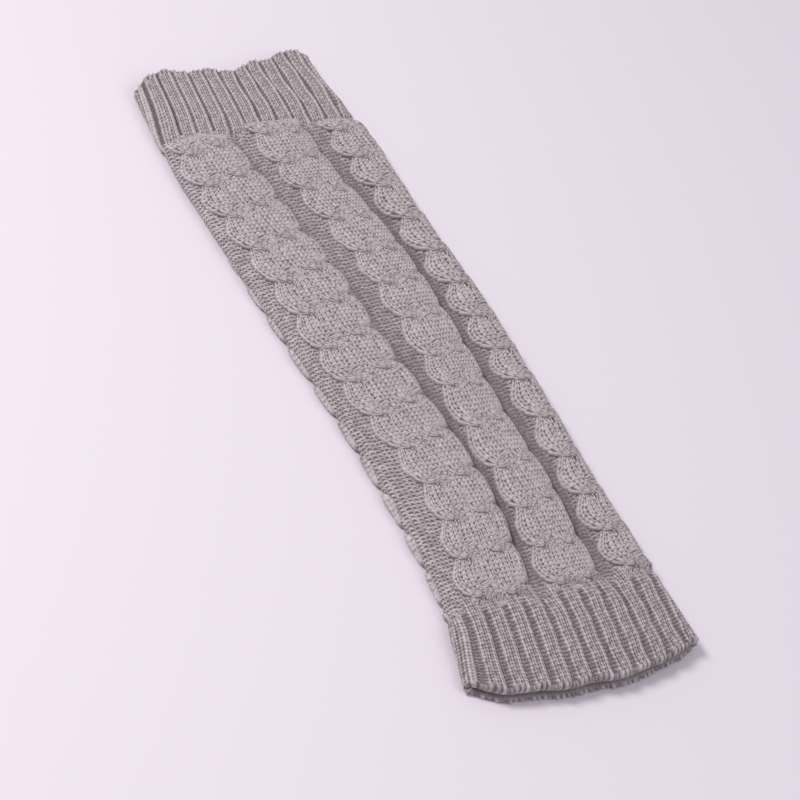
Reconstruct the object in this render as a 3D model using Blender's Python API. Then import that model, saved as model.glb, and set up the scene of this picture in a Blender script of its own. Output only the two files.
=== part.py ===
"""A cable-knit leg warmer lying flat on a table, in metres with +Z up.

The knitted tube runs along Y, with its narrow-ribbed knee cuff at +Y and its wide-ribbed ankle
cuff at -Y, and its underside rests on Z = 0. The layers stand a little apart, so the tube stays
open from one mouth to the other. It is one wall all round: raised cables and ribs on the outside
over a plain inside. The outline is measured in millimetres, and in wales (columns of stitches)
around the tube, counted from the left edge of the left cable.
"""

import math
from collections import namedtuple

import bmesh
import bpy
from mathutils import Vector

MM = 0.001

# Stitches around the tube
CABLES = 5
CABLE_WALES = 16
PURL_WALES = 5
REPEAT_WALES = CABLE_WALES + PURL_WALES
WALES = CABLES * REPEAT_WALES
TOP_CABLES = 3  # cables that show from above, the third one rolling over the right fold

# Heights and walls, in millimetres
FLOOR_WALL = 2.0  # the lower layer's thickness
CEILING = 6.8  # underside of the upper layer
CEILING_SIDE = 6.5  # the same beside the folds
FOLD_WALL = 2.6  # wall at the left and right folds
FOLD_RADIUS = 6.0  # how far in from a fold the top is rounded
INNER_FOLD_RADIUS = 3.6
CABLE_RISE = 2.8  # cables above the purl ground
CABLE_PINCH = 2.6  # how far a cable's outline draws in where a strand dives
KNEE_RIB_RISE = 1.7
ANKLE_RIB_RISE = 1.8
RISE_FADE = 5.0  # length over which cables and ribs ease down to their seam
SEAM_GAP = 0.3

# Lengths along Y, in millimetres
KNEE_SEAM = 160.0
ANKLE_SEAM = -158.0
KNEE_UNDER_SETBACK = 2.5  # the lower layer's rim ends short of the upper one's
ANKLE_UNDER_SETBACK = 1.0

# Outline and cable edges seen from above, from the knee rim to the ankle rim, in millimetres.
# left_wales is how many wales lie between the left fold and the left cable.
Row = namedtuple("Row", "y left right left1 right1 left2 right2 left3 left_wales ground side")
OUTLINE = [
    Row(209.0, -57.0, 51.5, -55.5, -22.0, -11.5, 22.5, 33.0, 0.8, 8.2, 7.4),
    Row(182.0, -58.5, 53.6, -57.0, -22.5, -11.5, 23.0, 33.0, 0.8, 8.4, 7.5),
    Row(160.0, -61.0, 58.5, -59.3, -22.5, -11.0, 24.0, 34.0, 0.9, 8.8, 7.8),
    Row(140.0, -63.5, 61.0, -61.0, -21.0, -9.5, 25.0, 35.0, 1.4, 9.0, 8.0),
    Row(117.0, -63.0, 61.5, -59.5, -17.2, -4.6, 27.8, 36.9, 2.0, 9.0, 8.0),
    Row(92.0, -61.5, 62.0, -56.1, -13.4, 0.4, 33.1, 39.4, 3.2, 9.0, 8.0),
    Row(54.0, -58.5, 64.5, -51.1, -5.6, 6.7, 38.6, 44.4, 5.4, 9.0, 8.0),
    Row(15.0, -56.0, 67.0, -49.0, -4.6, 8.5, 39.6, 45.5, 6.0, 9.0, 8.0),
    Row(-20.0, -53.5, 67.4, -45.0, -1.6, 8.2, 39.0, 47.5, 6.2, 9.0, 8.0),
    Row(-59.0, -51.8, 66.5, -38.0, 3.0, 7.4, 38.0, 47.4, 7.0, 9.0, 8.0),
    Row(-91.0, -51.5, 65.2, -35.5, 3.2, 7.2, 38.1, 45.4, 7.6, 9.0, 8.0),
    Row(-114.0, -52.5, 65.2, -39.3, 0.6, 4.8, 36.9, 44.6, 7.2, 9.0, 8.0),
    Row(-138.0, -54.8, 66.2, -45.5, -4.1, 1.5, 35.0, 44.4, 6.6, 9.0, 8.0),
    Row(-158.0, -58.5, 67.3, -48.0, -6.0, 2.6, 36.6, 46.5, 6.6, 8.9, 7.9),
    Row(-180.0, -62.3, 67.5, -48.8, -7.2, 4.0, 41.0, 52.0, 6.8, 8.7, 7.7),
    Row(-209.0, -68.5, 67.4, -49.5, -8.4, 4.5, 45.2, 58.0, 7.2, 8.6, 7.6),
]

# Creases that run along the purl strips beside cables 1 and 2: how far the ground sinks
Crease = namedtuple("Crease", "y strip1 strip2")
CREASES = [
    Crease(209.0, 0.0, 0.0),
    Crease(160.0, 0.3, 0.5),
    Crease(92.0, 0.3, 0.8),
    Crease(40.0, 0.4, 1.1),
    Crease(-20.0, 0.9, 1.1),
    Crease(-59.0, 1.1, 1.0),
    Crease(-120.0, 1.1, 1.1),
    Crease(-158.0, 0.5, 0.5),
    Crease(-209.0, 0.0, 0.0),
]

# A cable is two ropes side by side. Where the strands of each cable's left rope cross: the first
# crossing from the knee end, and their pitch
Crossings = namedtuple("Crossings", "first pitch")
CROSSINGS = [
    Crossings(145.5, 22.77),
    Crossings(155.3, 23.7),
    Crossings(150.0, 23.15),
    Crossings(147.0, 22.9),
    Crossings(149.0, 23.0),
]

# How far each cable's right rope crosses nearer to the knee than its left one
Lead = namedtuple("Lead", "y cable1 cable2 cable3 cable4 cable5")
LEADS = [
    Lead(155.0, 3.2, -2.0, -1.5, 1.5, 2.0),
    Lead(60.0, 5.0, -3.0, -3.0, 2.5, 3.0),
    Lead(-30.0, 5.0, -4.0, -3.0, 1.5, 2.0),
    Lead(-85.0, 1.5, -1.0, -1.0, 1.0, 0.5),
    Lead(-155.0, -2.5, 1.0, 0.0, 0.0, -1.0),
]

# One repeat of a rope, read down from a crossing: how high its left and right halves stand, as
# shares of CABLE_RISE, and how far a cable's left and right edges draw in, as shares of CABLE_PINCH
Lobe = namedtuple("Lobe", "phase left right left_pinch right_pinch")
LOBE = [
    Lobe(0.00, 0.48, 0.98, 1.00, 0.30),
    Lobe(0.10, 0.66, 1.00, 0.80, 0.10),
    Lobe(0.27, 0.80, 0.94, 0.30, 0.00),
    Lobe(0.46, 0.88, 0.88, 0.00, 0.00),
    Lobe(0.64, 0.95, 0.76, 0.00, 0.40),
    Lobe(0.77, 1.00, 0.48, 0.30, 1.00),
    Lobe(0.89, 1.00, 0.90, 0.80, 0.70),
]

# A cable's cross-section: wales from its left edge, and its fullness there
Cross = namedtuple("Cross", "wale fullness")
CROSS_SECTION = [
    Cross(0.0, 0.00),
    Cross(1.2, 0.82),
    Cross(3.0, 1.00),
    Cross(5.0, 1.00),
    Cross(6.8, 0.98),
    Cross(8.0, 0.90),
    Cross(9.2, 0.98),
    Cross(11.0, 1.00),
    Cross(13.0, 1.00),
    Cross(14.8, 0.82),
    Cross(16.0, 0.00),
]
ROPE_WALES = CABLE_WALES / 2
ROPE_SLANT = 7.0  # how much nearer to the knee a crossing is at a rope's left side than at its right
SLANT_FADE = 14.0  # length over which the slant straightens out to a seam
CROSSING_FADE = 14.5  # length over which each cable's own crossings part from the first cable's

# One rib, from the middle of the valley on its left: place across it, from 0 to 1, and its height
# as a share of the full rise
Rib = namedtuple("Rib", "place rise")
KNEE_RIB = [Rib(0.0, 0.0), Rib(0.11, 0.82), Rib(0.32, 1.0), Rib(0.68, 1.0), Rib(0.89, 0.82)]
ANKLE_RIB = [Rib(0.09, 0.0), Rib(0.21, 0.80), Rib(0.50, 1.0), Rib(0.79, 0.80), Rib(0.91, 0.0)]
KNEE_RIBS = 24
ANKLE_RIBS = 22
KNEE_FIRST_VALLEY = 0.8  # in wales
ANKLE_FIRST_VALLEY = 2.5

# The upper layer's rims from the left fold to the right one
RimPoint = namedtuple("RimPoint", "x y")
KNEE_RIM = [
    RimPoint(-57, 196),
    RimPoint(-40, 204),
    RimPoint(-6, 200.5),
    RimPoint(28, 205),
    RimPoint(50, 209),
]
ANKLE_RIM = [
    RimPoint(-68, -195),
    RimPoint(-50, -203.5),
    RimPoint(-10, -208.6),
    RimPoint(30, -208.2),
    RimPoint(67, -199.5),
]

# Steps along the walls
INNER_STEP = 26.0  # between the body's inside stations
CUFF_STEPS = 7
CUFF_INNER_STEPS = 2
UNDER_COLUMN_WALES = 4.9  # between columns on the flat underside

YARN_COLOUR = (0.40, 0.35, 0.365, 1.0)
YARN_ROUGHNESS = 0.95


def clear_scene():
    for item in list(bpy.data.objects):
        bpy.data.objects.remove(item, do_unlink=True)


def along(rows, key, place, column):
    """A smooth reading of one column of a table at a place between its rows."""
    ordered = sorted(rows, key=lambda row: getattr(row, key))
    keys = [getattr(row, key) for row in ordered]
    values = [getattr(row, column) for row in ordered]
    place = min(max(place, keys[0]), keys[-1])
    last = len(keys) - 1
    index = next(i for i in range(last) if place <= keys[i + 1])
    span = keys[index + 1] - keys[index]
    part = (place - keys[index]) / span

    def slope(i):
        before, after = max(i - 1, 0), min(i + 1, last)
        return (values[after] - values[before]) / (keys[after] - keys[before])

    start, end = values[index], values[index + 1]
    rise0, rise1 = slope(index) * span, slope(index + 1) * span
    return (
        start * (1 + 2 * part) * (1 - part) ** 2
        + rise0 * part * (1 - part) ** 2
        + end * part**2 * (3 - 2 * part)
        + rise1 * part**2 * (part - 1)
    )


def straight(rows, key, place, column):
    """A straight-line reading of one column of a table."""
    for before, after in zip(rows, rows[1:]):
        low, high = getattr(before, key), getattr(after, key)
        if place <= high:
            part = (place - low) / (high - low)
            return getattr(before, column) * (1 - part) + getattr(after, column) * part
    return getattr(rows[-1], column)


class Section:
    """The flattened ring that the tube makes at one place along Y."""

    def __init__(self, y, inner=False):
        def read(column):
            return along(OUTLINE, "y", y, column)

        inset = FOLD_WALL if inner else 0.0
        self.left = read("left") + inset
        self.right = read("right") - inset
        self.low = FLOOR_WALL if inner else 0.0
        self.high = CEILING if inner else read("ground")
        self.side = CEILING_SIDE if inner else read("side")
        self.fold = INNER_FOLD_RADIUS if inner else FOLD_RADIUS
        self.middle = (self.low + self.side) / 2
        fold_height = self.side - self.middle
        self.quarter = math.pi / 2 * math.sqrt((self.fold**2 + fold_height**2) / 2)
        self.layer = self.right - self.left - 2 * self.fold + 2 * self.quarter

    def place_over(self, x):
        """How far round the top layer, from the left fold, a point lies that is x across."""
        inward = max(0.0, x - self.left)
        if inward < self.fold:
            return self.quarter * math.acos(1 - inward / self.fold) / (math.pi / 2)
        return self.quarter + inward - self.fold

    def point(self, place):
        """x, z, the outward direction and the share of relief at a place round the ring."""
        over = place < self.layer
        run = place if over else 2 * self.layer - place
        near_left = run < self.layer / 2
        from_fold = run if near_left else self.layer - run
        turn = min(1.0, from_fold / self.quarter) * math.pi / 2
        inward = self.fold * (1 - math.cos(turn)) + max(0.0, from_fold - self.quarter)
        x = self.left + inward if near_left else self.right - inward
        if over:
            half = (self.right - self.left) / 2
            offset = abs(x - self.left - half) / half
            height = self.side + (self.high - self.side) * (1 - offset**3) - self.middle
        else:
            height = self.low - self.middle
        z = self.middle + height * math.sin(turn)
        side = -1 if near_left else 1
        outward = Vector((side * math.cos(turn) / self.fold, 0, math.sin(turn) / height)).normalized()
        relief = 1.0 if over else max(0.0, 1 - 1.6 * turn / (math.pi / 2))
        return x, z, outward, relief


def wale_places(section, y):
    """Pairs of wale count and place round the ring, from one left fold round to the next."""

    def read(column):
        return along(OUTLINE, "y", y, column)

    def over(column):
        return section.place_over(read(column))

    third = TOP_CABLES - 1
    wale_width = (read("right1") - read("left1")) / CABLE_WALES
    right_wales = (section.layer - over("left3")) / wale_width
    return [
        (-read("left_wales"), 0.0),
        (0, over("left1")),
        (CABLE_WALES, over("right1")),
        (REPEAT_WALES, over("left2")),
        (REPEAT_WALES + CABLE_WALES, over("right2")),
        (third * REPEAT_WALES, over("left3")),
        (third * REPEAT_WALES + right_wales, section.layer),
        (WALES - read("left_wales"), 2 * section.layer),
    ]


def place_of(pairs, wale):
    """The place round the ring of one wale."""
    while wale >= pairs[-1][0]:
        wale -= WALES
    while wale < pairs[0][0]:
        wale += WALES
    for (count0, place0), (count1, place1) in zip(pairs, pairs[1:]):
        if wale <= count1:
            return place0 + (place1 - place0) * (wale - count0) / (count1 - count0)
    return pairs[-1][1]


def ease(value):
    value = min(1.0, max(0.0, value))
    return value * value * (3 - 2 * value)


def seam_fade(y):
    """Relief eases to part of its height at both seams, so that body and cuffs meet."""
    nearest = min(abs(y - KNEE_SEAM), abs(y - ANKLE_SEAM))
    return 0.45 + 0.55 * ease(nearest / RISE_FADE)


def ring_turns(y):
    """Crossings of the first cable that lie between its first one and a ring."""
    return (CROSSINGS[0].first - y) / CROSSINGS[0].pitch


def lobe_at(y, column):
    closed = LOBE + [LOBE[0]._replace(phase=1.0)]
    return straight(closed, "phase", ring_turns(y) % 1.0, column)


def cable_relief(wale, y):
    """Height of a cable above the purl ground, in millimetres, on the ring at y."""
    in_repeat = wale % REPEAT_WALES
    if in_repeat > CABLE_WALES:
        return 0.0
    fullness = straight(CROSS_SECTION, "wale", in_repeat, "fullness")
    left, right = lobe_at(y, "left"), lobe_at(y, "right")
    if in_repeat == ROPE_WALES:
        return CABLE_RISE * fullness * (left + right) / 2
    in_rope = in_repeat % ROPE_WALES / ROPE_WALES
    return CABLE_RISE * fullness * (left if in_rope < 0.5 else right)


def cable_pull(wale, y):
    """How far a wale moves across, in millimetres, where its cable's outline draws in."""
    in_repeat = wale % REPEAT_WALES
    if in_repeat > CABLE_WALES:
        return 0.0
    edge = "left_pinch" if in_repeat < ROPE_WALES else "right_pinch"
    return -CABLE_PINCH * lobe_at(y, edge) * ((in_repeat - ROPE_WALES) / ROPE_WALES) ** 3


def from_seams(y):
    return max(0.0, min(KNEE_SEAM - y, y - ANKLE_SEAM))


def own_crossings(cable, y):
    """How far a ring moves towards the knee on one cable, to keep to that cable's crossings."""
    crossings = CROSSINGS[cable % CABLES]
    moved = crossings.first - ring_turns(y) * crossings.pitch - y
    return moved * min(1.0, from_seams(y) / CROSSING_FADE)


def strand_shift(wale, y):
    """How far a wale's point lies nearer to the knee than its ring, which follows the strands."""
    cable, in_repeat = int(wale // REPEAT_WALES), wale % REPEAT_WALES
    if in_repeat > CABLE_WALES:
        part = (in_repeat - CABLE_WALES) / PURL_WALES
        return own_crossings(cable, y) * (1 - part) + own_crossings(cable + 1, y) * part
    shift = own_crossings(cable, y)
    right_rope = min(1.0, max(0.0, (in_repeat - ROPE_WALES) / 1.2 + 0.5))
    lead = along(LEADS, "y", y, f"cable{cable % CABLES + 1}") * right_rope
    in_rope = in_repeat % ROPE_WALES / ROPE_WALES
    slant = 0.0 if in_repeat == ROPE_WALES else ROPE_SLANT * (0.5 - in_rope)
    if in_repeat == CABLE_WALES:
        slant = -ROPE_SLANT / 2
    return shift + (slant + lead) * ease(from_seams(y + shift) / SLANT_FADE)


def strip_sink(wale, y):
    """How far the ground sinks along the crease in a purl strip."""
    for index, column in enumerate(("strip1", "strip2")):
        middle = index * REPEAT_WALES + CABLE_WALES + PURL_WALES / 2
        nearness = 1 - abs(wale - middle) / (PURL_WALES / 2)
        if nearness > 0:
            return along(CREASES, "y", y, column) * ease(2 * nearness)
    return 0.0


def rim_y(rim, x, upper_share, setback):
    """The rim's place along Y, drawn back on the lower layer by the setback."""
    return along(rim, "x", x, "y") - setback * (1 - upper_share)


def on_wall(wale, y, inner):
    """The section at y, and a wale's place round it."""
    outside = Section(y)
    section = Section(y, inner=True) if inner else outside
    return section, place_of(wale_places(outside, y), wale) * section.layer / outside.layer


def ring_points(y, wales, relief, inner=False, stretch=None):
    """One ring of points. stretch or a shift moves them along Y, where it isn't square across."""
    points = []
    for wale in wales:
        section, place = on_wall(wale, y, inner)
        own_y = y
        if not inner:
            upper_share = section.point(place)[3]
            own_y += relief["shift"](wale, y) * upper_share
            section, place = on_wall(wale, own_y, inner)
            place += relief["pull"](wale, y) * upper_share
        x, z, outward, share = section.point(place)
        spot = Vector((x, own_y, z))
        if not inner:
            spot += outward * (relief["rise"](wale, y) * share - relief["sink"](wale, own_y))
            spot.y = own_y
            spot.z = max(spot.z, 0.0)
        if stretch:
            spot.y = stretch(x, share)
        points.append(spot * MM)
    return points


def knit_wall(name, outer_rings, inner_rings):
    """A closed wall lofted through rings outside and in, joined at both rims."""
    work = bmesh.new()

    def loft(rings):
        loops = [[work.verts.new(point) for point in ring] for ring in rings]
        for lower, upper in zip(loops, loops[1:]):
            for index in range(len(lower)):
                following = (index + 1) % len(lower)
                work.faces.new((lower[index], lower[following], upper[following], upper[index]))
        return loops

    outside = loft(outer_rings)
    inside = loft(inner_rings)
    for outer_rim, inner_rim in ((outside[0], inside[0]), (outside[-1], inside[-1])):
        for index in range(len(outer_rim)):
            following = (index + 1) % len(outer_rim)
            work.faces.new((outer_rim[index], inner_rim[index], inner_rim[following], outer_rim[following]))
    bmesh.ops.recalc_face_normals(work, faces=work.faces)
    bmesh.ops.triangulate(work, faces=work.faces)
    mesh = bpy.data.meshes.new(name)
    work.to_mesh(mesh)
    work.free()
    mesh.shade_smooth()
    return bpy.data.objects.new(name, mesh)


def body_wales():
    """The columns round the body, close over the cables and wide apart on the underside."""
    wales = []
    for cable in range(TOP_CABLES):
        start = cable * REPEAT_WALES
        wales += [start + row.wale for row in CROSS_SECTION]
        if cable < TOP_CABLES - 1:
            wales.append(start + CABLE_WALES + PURL_WALES / 2)
    last_start = (CABLES - 1) * REPEAT_WALES
    edge_columns = [last_start + row.wale for row in CROSS_SECTION if row.wale > ROPE_WALES]
    gap = edge_columns[0] - wales[-1]
    count = round(gap / UNDER_COLUMN_WALES)
    wales += [wales[-1] + gap * (index + 1) / count for index in range(count - 1)]
    return wales + edge_columns + [WALES - PURL_WALES / 2]


def body_stations():
    """Places along Y for the body's outer rings, a few to each cable repeat, knee end first."""
    top, bottom = KNEE_SEAM - SEAM_GAP / 2, ANKLE_SEAM + SEAM_GAP / 2
    first, pitch = CROSSINGS[0]
    repeats = math.ceil(ring_turns(bottom))
    places = [first - (repeat + row.phase) * pitch for repeat in range(-1, repeats) for row in LOBE]
    return [top] + [y for y in places if bottom + 1.0 < y < top - 1.0] + [bottom]


def cable_body():
    relief = {
        "rise": lambda wale, y: cable_relief(wale, y) * seam_fade(y),
        "pull": cable_pull,
        "sink": strip_sink,
        "shift": strand_shift,
    }
    wales = body_wales()
    stations = body_stations()
    top, bottom = stations[0], stations[-1]
    inner_count = round((top - bottom) / INNER_STEP)
    inner_stations = [top + (bottom - top) * step / inner_count for step in range(inner_count + 1)]
    outer = [ring_points(y, wales, relief) for y in stations]
    inner = [ring_points(y, wales, relief, inner=True) for y in inner_stations]
    return knit_wall("cable_body", outer, inner)


def rib_cuff(name, seam, rim, ribs, first_valley, rib_rows, rise, setback):
    """A ribbed cuff from its seam with the body out to its rim."""
    wales = [first_valley + (rib + row.place) * WALES / ribs for rib in range(ribs) for row in rib_rows]
    heights = [row.rise for _ in range(ribs) for row in rib_rows]
    height_of = dict(zip(wales, heights))
    away = 1 if rim[0].y > seam else -1
    start = seam + away * SEAM_GAP / 2
    relief = {
        "rise": lambda wale, y: rise * height_of[wale] * (0.45 + 0.55 * ease(abs(y - seam) / RISE_FADE)),
        "pull": lambda wale, y: 0.0,
        "sink": lambda wale, y: 0.0,
        "shift": lambda wale, y: 0.0,
    }
    rim_middle = along(rim, "x", 0, "y")

    def rings(steps, inner):
        made = []
        for step in range(steps + 1):
            part = step / steps
            y = start + (rim_middle - start) * part

            def stretch(x, upper_share, part=part):
                return start + (rim_y(rim, x, upper_share, away * setback) - start) * part

            made.append(ring_points(y, wales, relief, inner, stretch))
        return made

    return knit_wall(name, rings(CUFF_STEPS, False), rings(CUFF_INNER_STEPS, True))


def knee_cuff():
    return rib_cuff(
        "knee_cuff",
        seam=KNEE_SEAM,
        rim=KNEE_RIM,
        ribs=KNEE_RIBS,
        first_valley=KNEE_FIRST_VALLEY,
        rib_rows=KNEE_RIB,
        rise=KNEE_RIB_RISE,
        setback=KNEE_UNDER_SETBACK,
    )


def ankle_cuff():
    return rib_cuff(
        "ankle_cuff",
        seam=ANKLE_SEAM,
        rim=ANKLE_RIM,
        ribs=ANKLE_RIBS,
        first_valley=ANKLE_FIRST_VALLEY,
        rib_rows=ANKLE_RIB,
        rise=ANKLE_RIB_RISE,
        setback=ANKLE_UNDER_SETBACK,
    )


def yarn_material(name):
    material = bpy.data.materials.new(name)
    material.use_nodes = True
    shader = material.node_tree.nodes["Principled BSDF"]
    shader.inputs["Base Color"].default_value = YARN_COLOUR
    shader.inputs["Roughness"].default_value = YARN_ROUGHNESS
    shader.inputs["Metallic"].default_value = 0.0
    material.diffuse_color = YARN_COLOUR
    return material


def main():
    clear_scene()
    collection = bpy.data.collections.new("leg_warmer")
    bpy.context.scene.collection.children.link(collection)
    for make, finish in (
        (knee_cuff, "knee_rib_knit"),
        (cable_body, "cable_knit"),
        (ankle_cuff, "ankle_rib_knit"),
    ):
        piece = make()
        piece.data.materials.append(yarn_material(finish))
        collection.objects.link(piece)


main()
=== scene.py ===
import math

import bmesh
import bpy
import numpy as np
from mathutils import Matrix, Vector


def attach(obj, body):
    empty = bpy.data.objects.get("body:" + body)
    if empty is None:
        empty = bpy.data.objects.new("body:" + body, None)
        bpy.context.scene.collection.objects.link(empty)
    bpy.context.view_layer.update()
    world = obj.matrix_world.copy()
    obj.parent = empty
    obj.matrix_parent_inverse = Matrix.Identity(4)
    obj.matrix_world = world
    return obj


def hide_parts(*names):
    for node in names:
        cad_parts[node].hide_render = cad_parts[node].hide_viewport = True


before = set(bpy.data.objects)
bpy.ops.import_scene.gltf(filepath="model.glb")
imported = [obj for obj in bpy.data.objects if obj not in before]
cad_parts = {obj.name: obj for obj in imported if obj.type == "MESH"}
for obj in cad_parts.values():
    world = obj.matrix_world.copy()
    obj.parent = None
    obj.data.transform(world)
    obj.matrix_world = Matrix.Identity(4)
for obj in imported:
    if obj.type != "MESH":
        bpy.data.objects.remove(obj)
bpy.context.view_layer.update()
print("frame loaded:", sorted(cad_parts))

mm = 0.001  # the knitting below is worked out in millimetres

# how the tube lies on the table, knee end first: where its folds and its cables' edges are across it,
# how many wales lie between the left fold and the left cable, and how high the upper layer stands
layNames = ("y", "left", "right", "left1", "right1", "left2", "right2", "left3", "leftWales", "ground", "side")
layRows = (
    (209.0, -57.0, 51.5, -55.5, -22.0, -11.5, 22.5, 33.0, 0.8, 8.2, 7.4),
    (182.0, -58.5, 53.6, -57.0, -22.5, -11.5, 23.0, 33.0, 0.8, 8.4, 7.5),
    (160.0, -61.0, 58.5, -59.3, -22.5, -11.0, 24.6, 34.4, 0.9, 8.8, 7.8),
    (140.0, -63.5, 61.0, -61.0, -20.8, -9.8, 26.0, 35.8, 1.4, 9.0, 8.0),
    (117.0, -63.0, 61.5, -59.5, -15.9, -5.6, 28.8, 38.0, 2.0, 9.0, 8.0),
    (92.0, -61.5, 62.0, -56.1, -12.4, 0.8, 34.8, 41.6, 3.2, 9.0, 8.0),
    (54.0, -58.5, 64.5, -51.1, -5.6, 7.2, 40.4, 46.4, 4.8, 9.0, 8.0),
    (15.0, -56.0, 67.0, -49.0, -4.4, 9.2, 41.4, 47.4, 5.4, 9.0, 8.0),
    (-20.0, -53.5, 67.4, -45.0, 0.4, 8.8, 40.6, 48.8, 5.5, 9.0, 8.0),
    (-59.0, -51.8, 66.5, -38.0, 4.5, 8.4, 39.4, 49.0, 5.6, 9.0, 8.0),
    (-91.0, -51.5, 65.2, -35.5, 5.7, 9.9, 41.0, 47.6, 5.6, 9.0, 8.0),
    (-114.0, -52.5, 65.2, -39.3, 2.1, 6.9, 39.2, 45.8, 5.6, 9.0, 8.0),
    (-138.0, -54.8, 66.2, -45.5, -2.7, 2.5, 37.2, 45.2, 5.6, 9.0, 8.0),
    (-158.0, -58.5, 67.3, -48.0, -6.0, 2.6, 36.6, 46.5, 5.6, 8.9, 7.9),
    (-180.0, -62.3, 67.5, -48.8, -7.2, 4.0, 41.0, 52.0, 5.6, 8.7, 7.7),
    (-209.0, -68.5, 67.4, -49.5, -8.4, 4.5, 45.2, 58.0, 6.2, 8.6, 7.6),
)

# creases along the purl strips to the right of the left and middle cables: how deep the strips sink,
# and how much deeper yet right beside the cable
creaseNames = ("y", "strip1", "strip2", "beside1", "beside2")
creaseRows = (
    (209.0, 0.0, 0.0, 0.0, 0.0),
    (165.0, 0.2, 0.6, 0.2, 0.3),
    (145.0, 0.6, 1.4, 1.6, 0.8),
    (118.0, 0.7, 2.3, 1.7, 1.2),
    (92.0, 0.8, 3.1, 1.5, 1.3),
    (66.0, 0.9, 3.3, 0.5, 1.4),
    (40.0, 1.2, 3.0, 1.5, 1.5),
    (15.0, 1.4, 2.9, 0.9, 1.6),
    (-10.0, 2.0, 2.8, 1.3, 1.6),
    (-35.0, 2.6, 2.7, 1.4, 1.5),
    (-59.0, 3.2, 2.7, 1.2, 1.5),
    (-90.0, 3.4, 3.0, 1.2, 1.4),
    (-120.0, 3.1, 3.1, 1.3, 1.2),
    (-145.0, 2.0, 2.2, 0.8, 0.6),
    (-160.0, 0.7, 1.0, 0.2, 0.2),
    (-209.0, 0.0, 0.0, 0.0, 0.0),
)

tube = {
    "cables": 5,
    "cableWales": 16,
    "purlWales": 5,
    "underLift": 0.9,  # the underside's ground stands this far off the table, on its pressed stitches
    "foldRadius": 6.0,
    "wall": 2.0,
    "underShare": 0.3,  # how much of its relief the pressed underside keeps
    "creaseReach": 3.0,  # wales of each neighbouring cable that roll into a crease
    "besideReach": 1.1,
    "creaseShade": 0.19,  # painted shade: how much darker the purl strips get for each millimetre that they sink
}
tube["repeatWales"] = tube["cableWales"] + tube["purlWales"]
tube["wales"] = tube["cables"] * tube["repeatWales"]


def namedColumns(names, rows):
    return {name: np.array([row[i] for row in reversed(rows)], float) for i, name in enumerate(names)}


lay = namedColumns(layNames, layRows)
creases = namedColumns(creaseNames, creaseRows)


def ease(value):
    value = np.clip(value, 0.0, 1.0)
    return value * value * (3 - 2 * value)


def smoothRead(table, name, key, keyName="y"):
    # a smooth curve through one column of a table, read at key
    keys, values = table[keyName], table[name]
    key = np.clip(key, keys[0], keys[-1])
    before, after = np.arange(len(keys)) - 1, np.arange(len(keys)) + 1
    before[0], after[-1] = 0, len(keys) - 1
    slopes = (values[after] - values[before]) / (keys[after] - keys[before])
    i = np.clip(np.searchsorted(keys, key) - 1, 0, len(keys) - 2)
    span = keys[i + 1] - keys[i]
    part = (key - keys[i]) / span
    return (
        values[i] * (1 + 2 * part) * (1 - part) ** 2
        + slopes[i] * span * part * (1 - part) ** 2
        + values[i + 1] * part**2 * (3 - 2 * part)
        + slopes[i + 1] * span * part**2 * (part - 1)
    )


def sectionAt(y):
    # the flattened ring that the tube makes at y
    section = {name: smoothRead(lay, name, y) for name in layNames[1:]}
    section["low"] = tube["underLift"]
    section["middle"] = (section["low"] + section["side"]) / 2
    rise = section["side"] - section["middle"]
    section["quarter"] = math.pi / 2 * np.sqrt((tube["foldRadius"] ** 2 + rise**2) / 2)
    section["layer"] = section["right"] - section["left"] - 2 * tube["foldRadius"] + 2 * section["quarter"]
    return section


def placeOver(section, x):
    # how far round the top layer, from the left fold, a point lies that is x across
    inward = np.maximum(0.0, x - section["left"])
    turn = np.arccos(np.clip(1 - inward / tube["foldRadius"], -1, 1))
    onFold = section["quarter"] * turn / (math.pi / 2)
    return np.where(inward < tube["foldRadius"], onFold, section["quarter"] + inward - tube["foldRadius"])


def placeOfWale(section, wale):
    # the place round the ring of each wale, from the edges of the cables that show
    repeat, cable, total = tube["repeatWales"], tube["cableWales"], tube["wales"]
    over = {name: placeOver(section, section[name]) for name in ("left1", "right1", "left2", "right2", "left3")}
    waleWidth = (section["right1"] - section["left1"]) / cable
    foldWale = 2 * repeat + (section["layer"] - over["left3"]) / waleWidth
    zero = np.zeros_like(section["left"])
    counts = [-section["leftWales"], zero, zero + cable, zero + repeat, zero + repeat + cable, zero + 2 * repeat]
    counts += [foldWale, total - section["leftWales"]]
    places = [zero] + [over[name] for name in ("left1", "right1", "left2", "right2", "left3")]
    places += [section["layer"], 2 * section["layer"]]
    wale = (wale - counts[0]) % total + counts[0]
    result = places[0]
    for i in range(len(counts) - 1):
        part = (wale - counts[i]) / (counts[i + 1] - counts[i])
        result = np.where(wale >= counts[i], places[i] + (places[i + 1] - places[i]) * part, result)
    return result


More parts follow.
